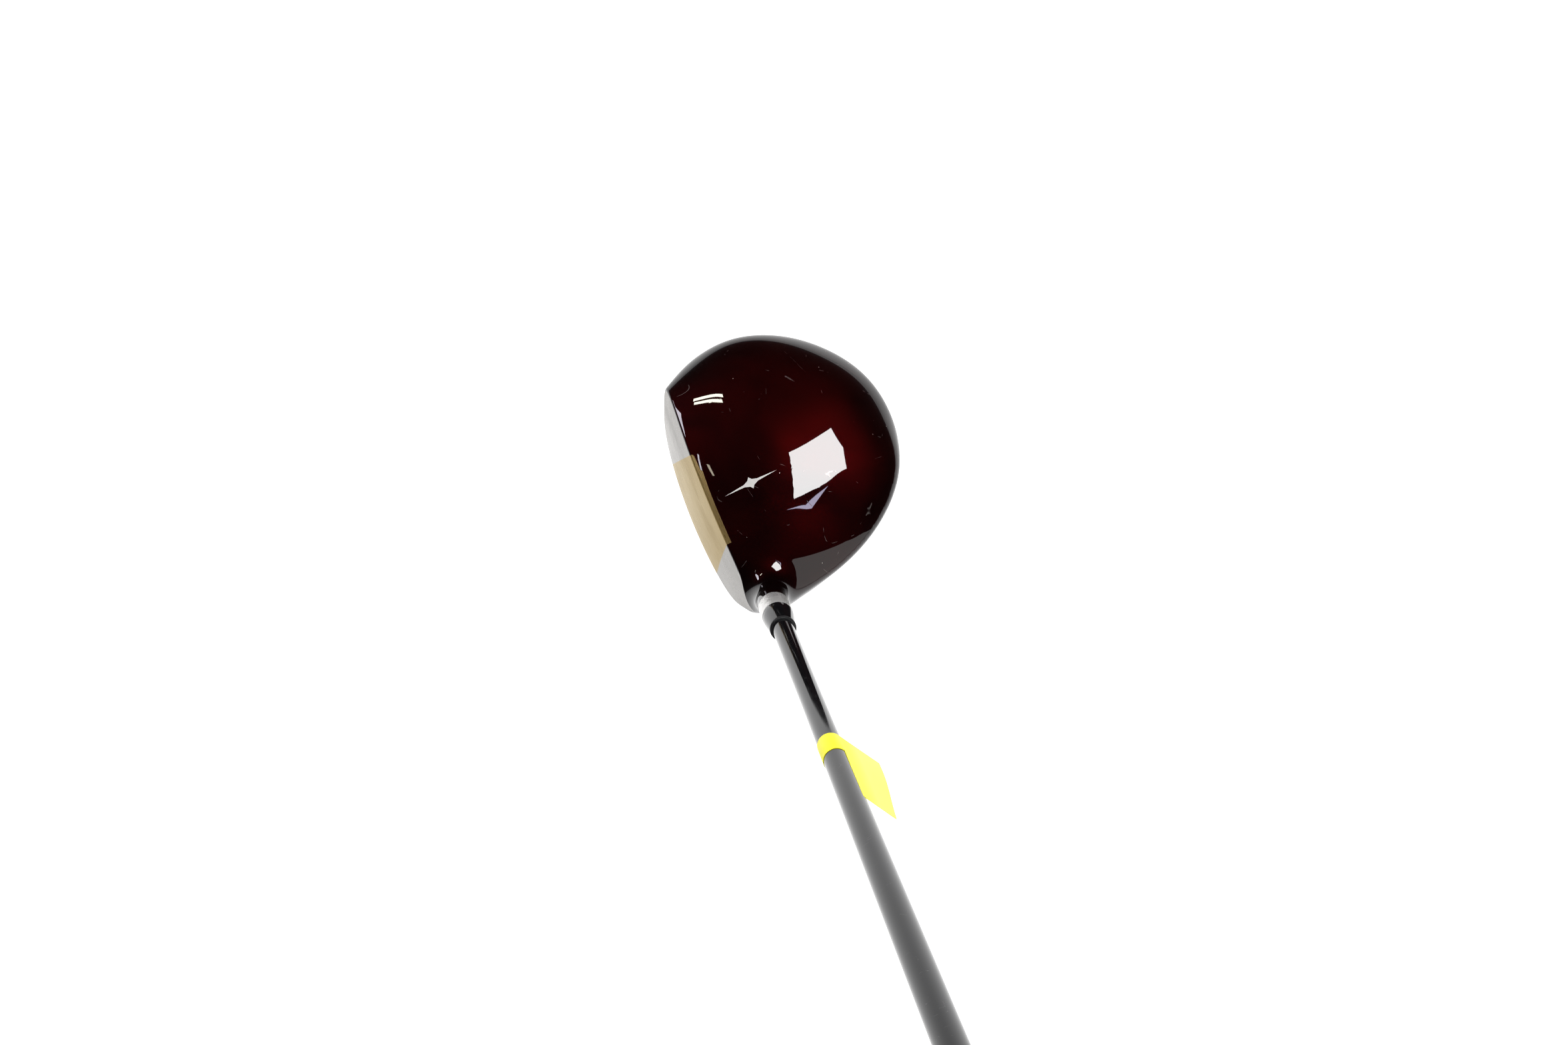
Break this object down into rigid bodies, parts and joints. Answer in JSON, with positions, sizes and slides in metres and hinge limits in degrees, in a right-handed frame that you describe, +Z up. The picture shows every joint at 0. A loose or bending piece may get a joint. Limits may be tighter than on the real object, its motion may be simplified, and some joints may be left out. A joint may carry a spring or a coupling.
{
  "type": "fairway wood",
  "caption": "Right-handed fairway wood with a rounded maroon metal head, gold face insert, bare hosel end, black shaft, rubber grip and a folded yellow label.",
  "frame": {"origin": "middle of the flat of the sole, on the ground plane, with the club held at address", "axes": "+Z up, -Y towards the target (the way the face looks), -X towards the toe, +X towards the heel and the leaning shaft"},
  "size_m": [0.6942, 0.0911, 0.9228],
  "materials": {
    "skirt_paint": "high gloss clear coat",
    "crown_paint": "high gloss deep maroon with clear coat",
    "face_steel": "satin, brushed heel to toe",
    "insert_gold": "satin gold",
    "mark_white": "painted",
    "sole_brass": "satin",
    "screw_steel": "turned",
    "neck_paint": "high gloss clear coat",
    "collar_steel": "turned, satin",
    "ferrule_black": "polished",
    "ring_rubber": "smooth",
    "plug_cork": "plain",
    "adhesive": "set epoxy",
    "shaft_graphite": "gloss black near the head, satin grey above",
    "tape": "paper tape",
    "grip_rubber": "patterned",
    "cap_rubber": "smooth",
    "label_yellow": "paper-backed label"
  },
  "bodies": {
    "root": {"head_body": "skirt_paint", "crown": "crown_paint", "face_plate": "face_steel", "face_insert": "insert_gold", "crown_mark": "mark_white", "sole_plate": "sole_brass", "sole_screw_1": "screw_steel", "sole_screw_2": "screw_steel", "sole_screw_3": "screw_steel", "sole_screw_4": "screw_steel", "hosel": "neck_paint", "hosel_collar": "collar_steel", "hosel_adhesive": "adhesive", "tip_plug": "plug_cork", "ferrule": "ferrule_black", "ferrule_ring": "ring_rubber", "shaft": "shaft_graphite", "grip_tape": "tape", "grip": "grip_rubber", "grip_cap": "cap_rubber", "price_tag": "label_yellow"}
  },
  "joints": []
}
